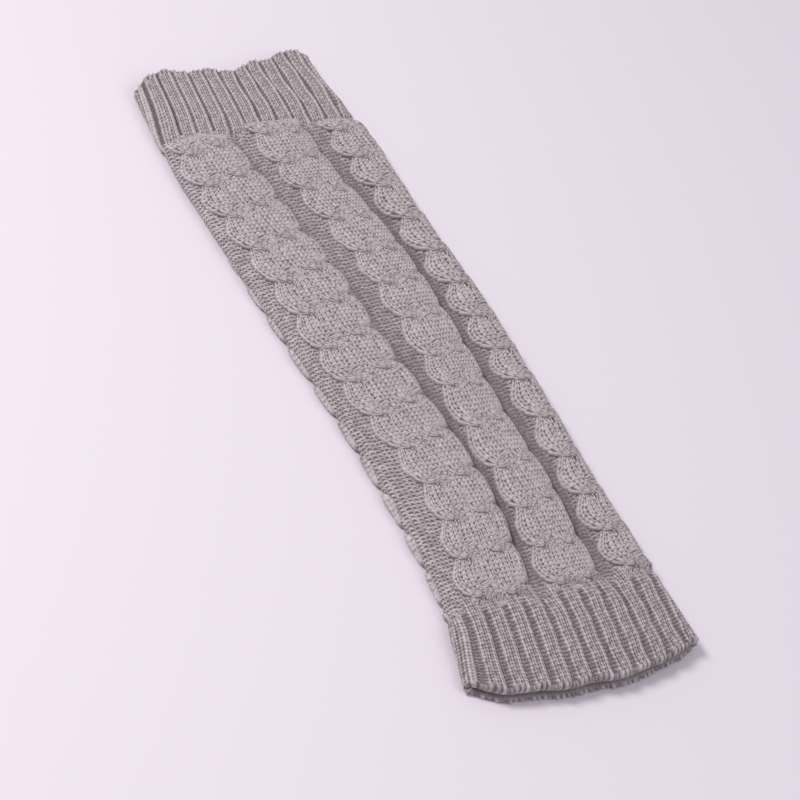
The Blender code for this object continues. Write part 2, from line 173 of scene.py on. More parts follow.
def pointsAt(section, place, y, height, depth=0.0, realY=None):
    # points on the tube: height is outwards from the ground, and depth is straight into the wall
    place = place % (2 * section["layer"])
    over = place < section["layer"]
    run = np.where(over, place, 2 * section["layer"] - place)
    nearLeft = run < section["layer"] / 2
    fromFold = np.where(nearLeft, run, section["layer"] - run)
    turn = np.minimum(1.0, fromFold / section["quarter"]) * math.pi / 2
    inward = tube["foldRadius"] * (1 - np.cos(turn)) + np.maximum(0.0, fromFold - section["quarter"])
    x = np.where(nearLeft, section["left"] + inward, section["right"] - inward)
    half = (section["right"] - section["left"]) / 2
    offset = np.abs(x - section["left"] - half) / half
    crown = section["side"] + (section["ground"] - section["side"]) * (1 - offset**3)
    tall = np.where(over, crown, section["low"]) - section["middle"]
    z = section["middle"] + tall * np.sin(turn)
    acrossPart = np.where(nearLeft, -1, 1) * np.cos(turn) / tube["foldRadius"]
    upPart = np.sin(turn) / tall
    length = np.hypot(acrossPart, upPart)
    underShare = tube["underShare"]
    share = np.where(over, 1.0, underShare + (1 - underShare) * (1 - ease(1.2 * turn / (math.pi / 2))))
    out = height * share - depth
    points = np.empty((len(x), 3))
    points[:, 0] = x + acrossPart / length * out
    points[:, 1] = y if realY is None else realY(x, np.where(over, 1.0, 1 - np.sin(turn)))
    points[:, 2] = np.maximum(z + upPart / length * out, 0.02)
    return points * mm


def onTube(wale, y, height, depth=0.0):
    section = sectionAt(y)
    return pointsAt(section, placeOfWale(section, wale), y, height, depth)


def creaseSink(wale, y):
    # how far the cloth sinks where it lies in a crease, with the cables' edges rolling in
    sink = np.zeros_like(wale)
    wale = wale % tube["wales"]
    for strip in (0, 1):
        edge = strip * tube["repeatWales"] + tube["cableWales"]
        beyond = np.abs(wale - edge - tube["purlWales"] / 2) - tube["purlWales"] / 2 + 0.8
        sink += smoothRead(creases, f"strip{strip + 1}", y) * (1 - ease(beyond / tube["creaseReach"]))
        beside = np.exp(-(((wale - edge - 0.9) / tube["besideReach"]) ** 2))
        sink += smoothRead(creases, f"beside{strip + 1}", y) * beside
    return sink


def unevenness(wale, y):
    # the slight swell and sag of cloth that was laid down by hand
    around = 2 * math.pi * wale / tube["wales"]
    swell = np.sin(0.043 * y + 2 * around) + 0.6 * np.sin(0.079 * y - 3 * around + 1.3)
    return 0.28 * swell + 0.12 * np.sin(0.21 * y + 5 * around + 0.5)


def stitchChance(u, v, salt):
    # an uneven value from 0 to 1 that stays the same for each stitch
    mixed = np.sin(12.9898 * np.floor(u) + 78.233 * np.floor(v) + 37.719 * salt) * 43758.5453
    return mixed - np.floor(mixed)


def knitRelief(u, v):
    # a knit stitch is a V of two legs round an open eye, with a groove between them and to the next wale
    fromMiddle = np.abs(u % 1.0 - 0.5)
    eyeDepth = 0.2 + 0.8 * stitchChance(u, v, 1) ** 2
    eye = np.exp(-((fromMiddle / 0.2) ** 2) - ((v % 1.0 - 0.35) / 0.3) ** 2)
    groove = np.where(fromMiddle < 0.25, 0.34, 0.26) * np.clip(np.abs(fromMiddle - 0.25) / 0.25, 0, 1) ** 1.5
    dip = 0.25 * np.maximum(0, np.cos(2 * math.pi * v)) ** 2
    legHeight = 0.35 * (stitchChance(2 * u, v, 3) - 0.5)
    return 1 + legHeight - eyeDepth * eye - groove - dip


def legSplay(u, v):
    # the legs of a knit stitch stand apart at its top and meet at its foot
    fraction = u % 1.0
    side = np.where(fraction < 0.5, -1, 1) * (np.abs(np.abs(fraction - 0.5) - 0.25) < 0.13)
    return side * 0.11 * np.cos(math.pi * (v % 1.0))


def purlRelief(u, v):
    # a purl stitch is a bar, the head of its loop, over a hole between the loop's feet
    v = v + 0.22 * (stitchChance(u, v / 3, 6) - 0.5) + 0.1 * np.sin(1.9 * u + 0.7 * v)
    fromMiddle = np.abs(u % 1.0 - 0.5)
    uneven = 0.7 + 0.5 * stitchChance(u + 0.5, v, 2)
    arch = v % 1.0 - 0.26 - 1.6 * fromMiddle**2
    bar = np.sqrt(np.clip(1 - (arch / 0.3) ** 2, 0, 1)) * (1 - 1.2 * fromMiddle**3)
    feet = np.sqrt(np.clip(0.7 - ((fromMiddle - 0.5) / 0.28) ** 2 - ((v % 1.0 - 0.8) / 0.34) ** 2, 0, 1))
    holeDepth = 0.35 + 0.65 * stitchChance(u, v, 4)
    hole = np.exp(-((fromMiddle / 0.3) ** 2) - ((v % 1.0 - 0.78) / 0.27) ** 2) * holeDepth
    return uneven * (0.3 + 0.52 * np.maximum(bar, feet)) - 0.9 * hole


def knitGrid(name, columns, rows, shape, stitchUv, capped=False):
    # a grid whose points are laid by shape(column, row), welded where its sides meet; it keeps the painted
    # shade at each point, worked out from how high the stitches stand, and whether the point is on knit stitches
    work = bmesh.new()
    work.loops.layers.uv.new("stitches")
    bmesh.ops.create_grid(work, x_segments=columns, y_segments=rows, size=0.5, calc_uvs=True)
    mesh = bpy.data.meshes.new(name)
    work.to_mesh(mesh)
    work.free()
    flat = np.empty(len(mesh.vertices) * 3)
    mesh.vertices.foreach_get("co", flat)
    flat = flat.reshape(-1, 3)
    column = np.rint((flat[:, 0] + 0.5) * columns).astype(int)
    row = np.rint((flat[:, 1] + 0.5) * rows).astype(int)
    points, raised, onKnit = shape(column, row)
    mesh.vertices.foreach_set("co", points.ravel())
    for layer, values in (("paintedShade", raised), ("knit", onKnit)):
        mesh.attributes.new(layer, "FLOAT", "POINT").data.foreach_set("value", values.astype(np.float32))
    corner = np.empty(len(mesh.loops), int)
    mesh.loops.foreach_get("vertex_index", corner)
    uv = np.column_stack(stitchUv(column[corner], row[corner]))
    mesh.uv_layers["stitches"].data.foreach_set("uv", uv.ravel())
    work = bmesh.new()
    work.from_mesh(mesh)
    rim = [vert for vert in work.verts if vert.is_boundary]
    bmesh.ops.remove_doubles(work, verts=rim, dist=1e-7)
    if capped:
        bmesh.ops.holes_fill(work, edges=[edge for edge in work.edges if edge.is_boundary])
    bmesh.ops.recalc_face_normals(work, faces=work.faces)
    work.to_mesh(mesh)
    work.free()
    mesh.shade_smooth()
    piece = bpy.data.objects.new(name, mesh)
    bpy.context.scene.collection.objects.link(piece)
    return piece


# the cables: each is two ropes side by side, and each rope is two strands of four wales, which cross
# in turn, the left one in front to the right, the right one behind it to the left
rope = {
    "strandWales": 4,
    "waleWidth": 2.46,
    "repeat": 22.75,  # from one crossing down to the next
    "repeatRows": 10,
    "turn": math.radians(82),  # how far a strand turns as it crosses
    "firstTurn": 0.36,  # how much of the way across it gets in its first, tighter turn
    "below": 1.4,  # how far below the crossing's place the crossing strand's lower edge passes
    "gather": 0.45,  # how much narrower it is drawn there
    "sweepRows": 0.95,  # stitches are stretched where a strand crosses
    "stay": (8.6, 5.0),  # how much later the right edge of a diving strand goes back, on each rope
    "leave": (2.2, 4.0),  # and over what distance
    "bottom": -0.5,  # the strands reach down into the ground
    "crown": 0.6,  # the middle of a whole cable stands this much above its sides
    "bulge": 0.8,  # the free right edge bows out between the crossings
    "lean": 1.2,  # how far a right edge draws in before it dives
    "flare": 3.0,  # how far a strand spreads to the middle of the cable as it arrives on the right
    "stitchDepth": 0.75,
    "edgeReach": 2.1,  # wales over which a free edge rounds down to the ground
    "edgeRidge": 0.25,  # the free left edge's own wale stands up as a ridge
    "underShadow": 1.0,  # how dark a strand is right where it comes out from under the other
    "shadowReach": 1.2,
}

# how far the free left edge is drawn in, as a share of the cable's notch, by the distance below the crossing
edgeTable = {
    "down": np.array((0.0, 4.5, 9.0, 13.5, 17.5, 21.5, 26.0, 36.0, 41.0, 45.5)),
    "drawn": np.array((1.0, 0.25, -0.35, -0.3, 0.15, 0.5, 0.0, 0.0, 0.9, 1.0)),
}

# a strand's height above the purl ground, by its distance below the crossing where it comes out, and
# the level that its edges come down to; a level of 4 is above the strand, and leaves the edge as it is
strandNames = ("down", "lift", "leftFree", "leftInner", "rightInner", "rightFree")
strandRows = (
    (0.0, 1.75, 0.2, 4.0, 4.0, 4.0),
    (1.5, 2.0, 0.1, 4.0, 4.0, 4.0),
    (4.0, 2.25, 0.1, 4.0, 4.0, 4.0),
    (8.0, 2.4, 0.1, 4.0, 4.0, 4.0),
    (12.0, 2.45, 0.1, 4.0, 4.0, 4.0),
    (15.0, 2.6, 0.3, 2.5, 2.5, 2.5),
    (18.5, 2.8, 1.2, 2.0, 2.3, 2.1),
    (22.0, 2.8, 1.4, 1.7, 2.2, 1.3),
    (24.0, 2.7, 1.8, 2.1, 2.3, 0.5),
    (27.0, 2.55, 4.0, 4.0, 4.0, 0.1),
    (32.0, 2.35, 4.0, 4.0, 4.0, 0.1),
    (36.0, 2.3, 4.0, 4.0, 4.0, 0.1),
    (38.5, 2.1, 4.0, 4.0, 4.0, 0.1),
    (40.5, 1.7, 4.0, 4.0, 4.0, 0.1),
    (42.5, 1.5, 0.8, 4.0, 4.0, 1.0),
    (44.0, 1.6, 0.4, 4.0, 4.0, 4.0),
    (45.5, 1.75, 0.2, 4.0, 4.0, 4.0),
)
strandTable = {name: np.array([row[i] for row in strandRows]) for i, name in enumerate(strandNames)}

# each cable's crossings: the first one's place, their pitch, and where its strands start at the knee
# end; how far each crossing lies off its even place, and how far the right rope's lies off the left
# one's, from the ankle end up
cableNames = ("leftCable", "middleCable", "rightCable", "underCableA", "underCableB")
crossingPlaces = np.linspace(-153.0, 155.0, 14)
cableLays = (
    {"first": 145.5, "pitch": 22.77, "top": 160.0, "split": 0.0, "notch": 3.2,
     "ahead": (0.0, 0.0, 0.5, 0.5, 1.0, 0.6, 0.8, 0.0, 0.5, 0.0, 0.3, 0.8, -0.5, -0.5),
     "lead": (-2.3, 0.0, 0.8, 1.7, 4.0, 4.4, 4.6, 5.2, 5.0, 5.0, 4.8, 4.3, 3.4, 3.2)},
    {"first": 155.3, "pitch": 23.7, "top": 166.0, "split": 1.0, "notch": 2.6,
     "ahead": (0.0, -0.6, 0.0, 1.7, 5.2, 8.4, 4.6, 7.6, 7.2, 5.8, 5.5, 4.2, -0.6, -2.5),
     "lead": (0.4, -1.3, 3.0, 1.5, 1.5, -2.2, 0.0, -0.5, 0.5, -1.1, -1.7, -4.0, 2.4, -1.3)},
    {"first": 150.0, "pitch": 23.15, "top": 162.0, "split": 0.6, "notch": 3.8,
     "ahead": (0.5, -0.5, 0.0, 1.0, 3.8, 6.4, 4.5, 3.9, 3.7, 3.6, 3.5, 4.6, 2.6, -1.5),
     "lead": (0.0, 0.8, -0.5, -1.0, -2.4, -3.0, -2.4, -3.2, -3.0, -2.6, -3.3, -3.3, -2.4, -1.5)},
    {"first": 147.0, "pitch": 22.9, "top": 160.0, "split": 0.3, "notch": 3.0,
     "ahead": (0.0, 0.6, -0.4, 1.2, 2.5, 3.6, 2.0, 2.4, 3.5, 2.2, 0.8, 1.5, -0.8, 0.0),
     "lead": (0.0, 0.5, 1.6, 1.0, 0.2, 1.5, 2.6, 2.0, 1.2, 2.5, 3.0, 2.0, 0.9, 1.5)},
    {"first": 149.0, "pitch": 23.0, "top": 160.0, "split": -0.3, "notch": 3.0,
     "ahead": (0.0, -0.8, 0.5, 1.6, 3.0, 1.4, 2.6, 4.0, 3.1, 3.8, 2.2, 1.0, 1.4, 0.0),
     "lead": (-1.0, 0.6, 0.0, 1.5, 1.1, 2.4, 1.6, 3.0, 2.5, 1.4, 3.1, 2.2, 2.6, 2.0)},
)
cableBottom = -157.5


def strandCourse():
    # one strand's course over two repeats: distance down, place across, turn and rows
    width = rope["waleWidth"] * rope["strandWales"]
    onLeft, onRight = width / 2, width * 1.5
    turn = rope["turn"]
    radii = (onRight - onLeft) / (1 - math.cos(turn))
    tight, wide = radii * rope["firstTurn"], radii * (1 - rope["firstTurn"])
    halfBand = width / 2 * (1 - rope["gather"])
    sweepStart = rope["repeat"] + rope["below"] - (tight + halfBand) * math.sin(turn)
    sweepEnd = sweepStart + radii * math.sin(turn)
    first = np.linspace(0, turn, 20, endpoint=False)
    second = np.linspace(turn, 0, 20, endpoint=False)
    down = [np.linspace(0, sweepStart, 16, endpoint=False)]
    down += [sweepStart + tight * np.sin(first), sweepEnd - wide * np.sin(second)]
    down += [np.linspace(sweepEnd, 2 * rope["repeat"], 40)]
    across = [np.full(16, onLeft), onLeft + tight * (1 - np.cos(first)), onRight - wide * (1 - np.cos(second))]
    across += [np.full(40, onRight)]
    slope = [np.zeros(16), first, second, np.zeros(40)]
    down, across, slope = np.concatenate(down), np.concatenate(across), np.concatenate(slope)
    weight = np.where(slope > 0, rope["sweepRows"], 1.0)
    step = np.hypot(np.diff(down), np.diff(across)) * weight[1:]
    rows = np.concatenate([[0.0], np.cumsum(step)])
    rows *= 2 * rope["repeatRows"] / rows[-1]
    # the lower edge of the strand as it sweeps across in front of the other
    half = width / 2 * (1 - rope["gather"] * ease(slope / turn))
    edgeAcross = np.maximum.accumulate(across - half * np.cos(slope))
    edgeDown = down + half * np.sin(slope) - rope["repeat"]
    return {"down": down, "across": across, "slope": slope, "rows": rows,
            "edgeAcross": edgeAcross[16:56], "edgeDown": edgeDown[16:56]}


def strandPiece(course, cable, side, phase, acrossWale, alongRow):
    # one strand as a closed band: its knit face, and plain sides and back
    lay = cableLays[cable]
    start = cable * tube["repeatWales"] + side * tube["cableWales"] / 2
    width = rope["waleWidth"] * rope["strandWales"]
    period = 2 * rope["repeat"]
    stretch = lay["pitch"] / rope["repeat"]

    def rowAt(distance):
        laps = math.floor(distance / period)
        return np.interp(distance - laps * period, course["down"], course["rows"]) + laps * course["rows"][-1]

    firstRow = rowAt((lay["first"] - lay["top"]) / stretch + phase * rope["repeat"])
    lastRow = rowAt((lay["first"] - cableBottom) / stretch + phase * rope["repeat"])
    face = rope["strandWales"] * acrossWale
    columns = face + 3
    rows = round((lastRow - firstRow) * alongRow)

    def rolled(height, level, fromEdge):
        # a rounded edge that comes down to its level
        reach = np.interp(level, (0.2, 1.5), (rope["edgeReach"], 0.8))
        part = np.clip(fromEdge / reach, 0, 1)
        return height - np.maximum(0.0, height - level) * (1 - np.sqrt(1 - (1 - part) ** 2))

    def shape(column, row):
        run = firstRow + (lastRow - firstRow) * row / rows
        laps = np.floor(run / course["rows"][-1])
        within = run - laps * course["rows"][-1]
        down = np.interp(within, course["rows"], course["down"])
        across = np.interp(within, course["rows"], course["across"])
        slope = np.interp(within, course["rows"], course["slope"])
        onFace = column <= face
        share = np.where(onFace, column / face, np.where(column == face + 1, 1.0, 0.0))
        fromLeft = share * rope["strandWales"]
        fromRight = (1 - share) * rope["strandWales"]
        crossing = slope / rope["turn"]
        aside = ((fromLeft + legSplay(fromLeft, run) * onFace) / rope["strandWales"] - 0.5) * width
        aside *= 1 - rope["gather"] * ease(crossing) * (1 - 0.75 * share * (down < rope["repeat"]))
        lateral = across + aside * np.cos(slope)
        distance = down - aside * np.sin(slope) + laps * period - phase * rope["repeat"]
        # the way back to the left, behind the other strand
        back = ease((down - 34.5 - rope["stay"][side] * share) / (4 + (rope["leave"][side] - 4) * share))
        lateral -= width * back
        below = np.where(down > 34, down - period, down)
        below = below - np.interp(lateral, course["edgeAcross"], course["edgeDown"])
        if side == 0:
            lateral += lay["notch"] * smoothRead(edgeTable, "drawn", down, "down") * (1 - share)
            lateral += rope["flare"] * np.sin(math.pi * np.clip((down - 16) / 12, 0, 1)) * share**2
        else:
            bow = np.sin(math.pi * np.clip((down - 23) / 12, 0, 1))
            lean = rope["lean"] * ease((down - 34) / 5.5) * (1 - ease((down - 40) / 4))
            lateral += (rope["bulge"] * bow - lean) * share
        evenY = lay["first"] - distance * stretch
        y = evenY + np.interp(evenY, crossingPlaces, lay["ahead"])
        if side:
            y += np.interp(evenY, crossingPlaces, lay["lead"])
        fromStart = lateral / rope["waleWidth"] + side * tube["cableWales"] / 2
        wale = start - side * tube["cableWales"] / 2 + fromStart
        wale += lay["split"] * np.sin(math.pi * np.clip(fromStart / tube["cableWales"], 0, 1))
        levels = {name: np.interp(down, strandTable["down"], strandTable[name]) for name in strandNames[1:]}
        crown = rope["crown"] * (1 - (fromStart / 8 - 1) ** 2)
        top = levels["lift"] + crown * ease(levels["lift"] / 2)
        top = rolled(top, levels["leftInner" if side else "leftFree"], fromLeft)
        top = rolled(top, levels["rightFree" if side else "rightInner"], fromRight)
        smooth = np.maximum(0.15 * crossing, 0.35 * side * share * ease((down - 33) / 4))
        relief = 1 - (1 - knitRelief(fromLeft, run)) * (1 - smooth)
        # the grooves between the wales where the strand crosses, deeper and darkened with painted shade
        relief -= 0.35 * crossing * np.abs(np.cos(math.pi * fromLeft)) ** 3
        if side == 0:
            ridge = ease((down - 0.5) / 3) * (1 - ease((down - 14) / 4))
            ridgeTop = ridge * np.clip(1 - ((fromLeft - 0.55) / 0.5) ** 2, 0, 1)
            top += rope["edgeRidge"] * ridgeTop
            # the ridge's stitches smoother and lighter, a painted highlight, and the line beside it sunk and darkened
            # with painted shade
            relief += (0.8 - relief) * 0.5 * ridgeTop
            relief -= 0.35 * ridge * np.clip(1 - np.abs(fromLeft - 1.08) / 0.2, 0, 1)
        fadeTop = ease((lay["top"] - y) / 9)
        top = (top + rope["stitchDepth"] * (relief - 0.8)) * fadeTop - 0.7 * (1 - fadeTop)
        fadeBottom = ease((y - cableBottom) / 6)
        top = top * fadeBottom - 0.7 * (1 - fadeBottom)
        height = np.where(onFace | (column == columns), top, np.minimum(rope["bottom"], top - 0.2))
        height = height - creaseSink(wale, y) + unevenness(wale, y)
        shadow = (1 - ease(below / rope["shadowReach"])) * (1 - ease((aside / width - 0.28) / 0.2))
        shadow *= ease((fromLeft - 0.2) / 1.3)
        relief -= rope["underShadow"] * shadow * np.where(down > 34, ease(2 * back - 1), down < 12)
        onFace = onFace | (column == columns)
        # the sides and back get a fixed painted shade
        return onTube(wale, y, height), np.where(onFace, relief, 0.3), onFace * (1 - 1.4 * smooth)

    def stitchUv(column, row):
        return np.minimum(column, face) / acrossWale, firstRow + (lastRow - firstRow) * row / rows

    return knitGrid("strand", columns, rows, shape, stitchUv, capped=True)


def joinPieces(name, pieces):
    work = bmesh.new()
    for piece in pieces:
        work.from_mesh(piece.data)
    mesh = bpy.data.meshes.new(name)
    work.to_mesh(mesh)
    work.free()
    mesh.shade_smooth()
    for piece in pieces:
        oldMesh = piece.data
        bpy.data.objects.remove(piece)
        bpy.data.meshes.remove(oldMesh)
    joined = bpy.data.objects.new(name, mesh)
    bpy.context.scene.collection.objects.link(joined)
    return joined


def makeCable(cable, acrossWale, alongRow):
    course = strandCourse()
    strands = []
    for side in (0, 1):
        for phase in (0, 1):
            strands.append(strandPiece(course, cable, side, phase, acrossWale, alongRow))
    return joinPieces(cableNames[cable], strands)


# the purl ground between the cables, a closed wall that runs on below them
ground = {
    "top": 159.4,
    "bottom": -157.6,
    "rowHeight": 2.28,
    "alongRow": 4,
    "fine": 4,  # columns to a wale where the strip shows from above
    "coarse": 2,
    "besideStrip": 1.5,  # wales of ground beside a strip that show in the notches of the cable
    "underCable": 3,  # columns below each cable
    "innerRows": 30,
    "stitchDepth": 0.65,
    "backing": 0.7,  # how far it rises where a cable covers it, so that it closes the gaps at the crossings
}


def groundWales():
    places = []
    beside = ground["besideStrip"]
    for index in range(tube["cables"]):
        start = index * tube["repeatWales"]
        fine = ground["coarse"] if index in (2, 3) else ground["fine"]
        steps = round((tube["purlWales"] + 2 * beside) * fine)
        strip = start + tube["cableWales"] - beside
        places += list(strip + np.arange(steps + 1) / fine)
        covered = tube["cableWales"] - 2 * beside
        places += [places[-1] + covered * k / ground["underCable"] for k in range(1, ground["underCable"])]
    return np.array(places + [places[0] + tube["wales"]])


def makeGround(name):
    wales = groundWales()
    outerRows = round((ground["top"] - ground["bottom"]) / ground["rowHeight"] * ground["alongRow"])
    innerRows = ground["innerRows"]
    rows = outerRows + innerRows + 2
    columns = len(wales) - 1

    def rowPlace(row):
        outward = (row <= outerRows) | (row == rows)
        share = np.where(row <= outerRows, row / outerRows, 1 - (row - outerRows - 1) / innerRows)
        share = np.where(row == rows, 0.0, share)
        return outward, ground["top"] + (ground["bottom"] - ground["top"]) * share

    def shape(column, row):
        wale = wales[column]
        outward, y = rowPlace(row)
        inRepeat = wale % tube["repeatWales"]
        fromStrip = np.minimum(tube["cableWales"] - inRepeat, inRepeat)
        backing = ground["backing"] * ease((fromStrip - 1.2) / 1.5)
        shows = fromStrip < ground["besideStrip"] + 0.1
        relief = np.where(shows, purlRelief(wale % tube["wales"], -y / ground["rowHeight"]), 0.6)
        height = ground["stitchDepth"] * (relief - 0.6) + backing - creaseSink(wale, y) + unevenness(wale, y)
        depth = np.where(outward, 0.0, tube["wall"])
        height = np.where(outward, height, -creaseSink(wale, y) * 0.8)
        # painted shade in the creases, and a half painted shade on the wall's inside
        shaded = relief * (1 - tube["creaseShade"] * creaseSink(wale, y))
        return onTube(wale, y, height, depth), np.where(outward, shaded, 0.5), np.zeros(len(wale))

    def stitchUv(column, row):
        return wales[column], -rowPlace(row)[1] / ground["rowHeight"]

    return knitGrid(name, columns, rows, shape, stitchUv)


# the ribbed cuffs: columns of raised knit wales with sunken purl wales between them; the ribs' pitch
# and the first valley's place are those on the upper layer, and the lower one shares out the rest
cuffNames = ("y", "pitch", "valley")
kneeCuff = {
    "ribs": 24,
    "knitShare": 0.84,  # of a rib's width, where the purl wales draw in
    "valleyShade": 0.25,  # how much light the purl wales between the ribs get
    "valleys": (1.0, 0.5, 0.75, 0.55, 0.6, 0.95, 0.75, 0.9, 0.95, 1.0, 0.5, 0.7),  # how deep, in turn
    "rise": 1.9,
    "waleCrown": 0.45,  # how round each knit wale stands
    "edgeWale": 0.45,  # a rib's last wale stands up beside the valley
    # a painted highlight on that last wale
    "edgeLight": 0.1,
    "partingShade": 0.4,  # how dark the painted shade lines between its wales are
    "shade": 0.16,
    "pits": 0.7,  # how deep the eyes of the stitches are
    "lean": 0.5,
    "seam": 160.0,
    "tuck": 152.0,  # its edge that is tucked under the body
    "rows": 23,
    "rim": ((-57, 196), (-50, 202), (-40, 204.3), (-30, 202.8), (-12, 202.3), (-1, 199.8), (9, 202), (20, 205.2),
            (27, 205.4), (34, 208.6), (42, 209.5), (50, 207.8)),
    "underSetback": 2.5,
    "rimRoll": 0.4,  # how much thicker the wall is at the rim, where its edge rolls in
    "ribLay": ((209.0, 9.15, 15.6), (190.0, 9.4, 14.2), (165.0, 10.1, 12.6), (150.0, 10.3, 12.0)),
    "seamPlaces": ((-3.0, 158.0), (0.5, 159.5), (15.5, 159.5), (18.5, 158.0), (21.5, 163.5), (36.5, 163.5),
                   (39.5, 158.5), (42.5, 161.0), (58.5, 160.0), (102.0, 158.0)),
}
ankleCuff = {
    "ribs": 22,
    "knitShare": 0.7,
    "valleyShade": 0.65,
    "valleys": (0.9, 1.0, 0.8, 1.0, 0.85, 0.95, 1.0, 0.8, 1.0, 0.9, 0.95),
    "rise": 1.9,
    "waleCrown": 0.5,
    "edgeWale": 0.1,
    "edgeLight": 0.0,
    "partingShade": 0.3,
    "shade": 0.12,
    "pits": 1.0,
    "lean": 0.35,
    "seam": -158.0,
    "tuck": -146.0,
    "rows": 28,
    "rim": ((-68, -195), (-50, -203.5), (-10, -208.6), (30, -208.2), (67, -199.5)),
    "underSetback": 0.8,
    "rimRoll": 1.3,
    "ribLay": ((-150.0, 11.3, 9.0), (-165.0, 11.5, 9.6), (-190.0, 11.8, 8.4), (-209.0, 12.0, 8.0)),
    "seamPlaces": ((-3.0, -163.0), (0.5, -151.5), (15.5, -152.5), (18.5, -164.0), (21.5, -153.5), (36.5, -153.5),
                   (39.5, -162.0), (42.5, -152.0), (58.5, -153.0), (102.0, -163.0)),
}
cuffMesh = {
    "knitWales": 3,
    "ribWales": 5,
    "acrossWale": 4,
    "alongRow": 5,
    "rimSteps": 6,
    "innerRows": 12,
    "stitchDepth": 0.75,
    "wall": 2.6,
    "rimRadius": 1.6,
    "rimBeads": 0.7,  # how far the loops of the first and last rows stand out along the rims
}


def makeCuff(name, cuff):
    knit, whole = cuffMesh["knitWales"], cuffMesh["ribWales"]
    columns = cuff["ribs"] * whole * cuffMesh["acrossWale"]
    outerRows = cuff["rows"] * cuffMesh["alongRow"]
    rimSteps, innerRows = cuffMesh["rimSteps"], cuffMesh["innerRows"]
    rows = outerRows + rimSteps + innerRows + 1
    away = 1 if cuff["rim"][0][1] > cuff["seam"] else -1
    rimTable = dict(zip(("x", "rim"), np.array(cuff["rim"], float).T))
    rimMiddle = float(smoothRead(rimTable, "rim", np.array([0.0]), "x")[0])
    total = abs(rimMiddle - cuff["tuck"])
    ribRows = sorted(cuff["ribLay"])
    ribTable = {name: np.array([row[i] for row in ribRows]) for i, name in enumerate(cuffNames)}
    seamWales, seamYs = np.array(cuff["seamPlaces"]).T

    def rowPlace(row):
        # distance from the tucked edge out to the rim, round it, and back inside
        run = np.minimum(row, outerRows) / outerRows * (total - cuffMesh["rimRadius"])
        bend = np.clip((row - outerRows) / rimSteps, 0, 1) * math.pi
        inside = np.clip((row - outerRows - rimSteps) / innerRows, 0, 1)
        reach = run + cuffMesh["rimRadius"] * np.sin(bend) - inside * (total - cuffMesh["rimRadius"])
        deep = (1 - np.cos(bend)) / 2
        last = row == rows
        return np.where(last, 0.0, reach), np.where(last, 0.0, deep)

    def ribPlace(section, y, stitch):
        # the place round the ring of each stitch, evenly on the upper layer and evenly on the lower
        rib, within = np.divmod(stitch, whole)
        share = cuff["knitShare"]
        drawn = np.where(within < knit, within / knit * share, share + (within - knit) / (whole - knit) * (1 - share))
        pitch = smoothRead(ribTable, "pitch", y)
        start = smoothRead(ribTable, "valley", y) + (1 - share) * pitch / 2
        wander = np.sin(0.31 * y + 2.4 * rib) + 0.8 * np.sin(0.13 * y + 1.7 * rib)
        place = start + (rib + drawn) * pitch + cuff["lean"] * wander * np.sin(math.pi * rib / cuff["ribs"])
        fitting = (section["layer"] - start) / pitch
        beyond = rib + drawn - fitting
        rest = section["layer"] + start
        return np.where(beyond > 0, section["layer"] + beyond * rest / (cuff["ribs"] - fitting), place)

    def shape(column, row):
        stitch = (column % columns) / cuffMesh["acrossWale"]
        within = stitch % whole
        reach, deep = rowPlace(row)
        y = cuff["tuck"] + away * reach
        section = sectionAt(y)
        place = ribPlace(section, y, stitch)
        wale = waleAt(section, place)
        intoRib = np.where(within < knit, np.minimum(within, knit - within), -np.minimum(within - knit, whole - within))
        valley = (stitch // whole + (within > knit / 2)).astype(int)
        depth = np.array(cuff["valleys"])[valley % len(cuff["valleys"])]
        raised = 1 - depth * (1 - ease((intoRib + 0.35) / 0.7))
        stitchRow = reach / total * cuff["rows"]
        inKnit = within < knit
        crown = 0.45 * np.sin(math.pi * np.clip(within / knit, 0, 1))
        crown += np.where(inKnit, cuff["waleCrown"] * (np.abs(np.sin(math.pi * within)) - 0.7), 0.0)
        lastWale = np.clip(1 - ((within - knit + 0.5) / 0.6) ** 2, 0, 1)
        crown += cuff["edgeWale"] * lastWale
        knitted = 1 - (1 - knitRelief(within, stitchRow)) * cuff["pits"] * (1 - 0.5 * lastWale)
        relief = np.where(inKnit, knitted, purlRelief(within, stitchRow))
        loops = 0.5 * np.abs(np.sin(math.pi * stitch)) + 0.5 * stitchChance(2 * stitch, 0.7 * stitchRow, 5)
        bead = 2 * loops * (0.6 + 0.8 * stitchChance(stitch, 0 * stitch, 7))
        bead *= np.sin(math.pi * np.clip(deep + 0.15, 0, 1))
        nearRim = ease((reach - total + 3.5) / 2.5)
        relief = relief * (1 - nearRim) + (0.1 + 0.9 * loops) * nearRim
        stitches = cuffMesh["stitchDepth"] * (relief - np.where(inKnit, 0.8, 0.5))
        seamward = away * (y - np.interp(wale, seamWales, seamYs))
        settle = ease((seamward + 6) / 6)
        rise = cuff["rise"] * (0.45 + 0.55 * ease((seamward - 1) / 9))
        outer = (rise * raised + crown) * settle + stitches * (0.3 + 0.7 * settle) - 0.9 * (1 - settle)
        inner = -cuffMesh["wall"] - cuff["rimRoll"] * nearRim + 0.5 * (1 - raised)
        height = outer * (1 - deep) + inner * deep + cuffMesh["rimBeads"] * (bead * (1 - deep) - 0.3) * nearRim
        height = height - creaseSink(wale, y) * (1 - 0.2 * deep) + unevenness(wale, y)

        def realY(x, upperShare):
            rim = smoothRead(rimTable, "rim", x, "x") - cuff["underSetback"] * (1 - upperShare)
            rim += away * cuffMesh["rimBeads"] * (bead - 0.5 + 0.8 * np.sin(2.3 * stitch / whole)) * nearRim
            return cuff["tuck"] + (rim - cuff["tuck"]) * away * (y - cuff["tuck"]) / total
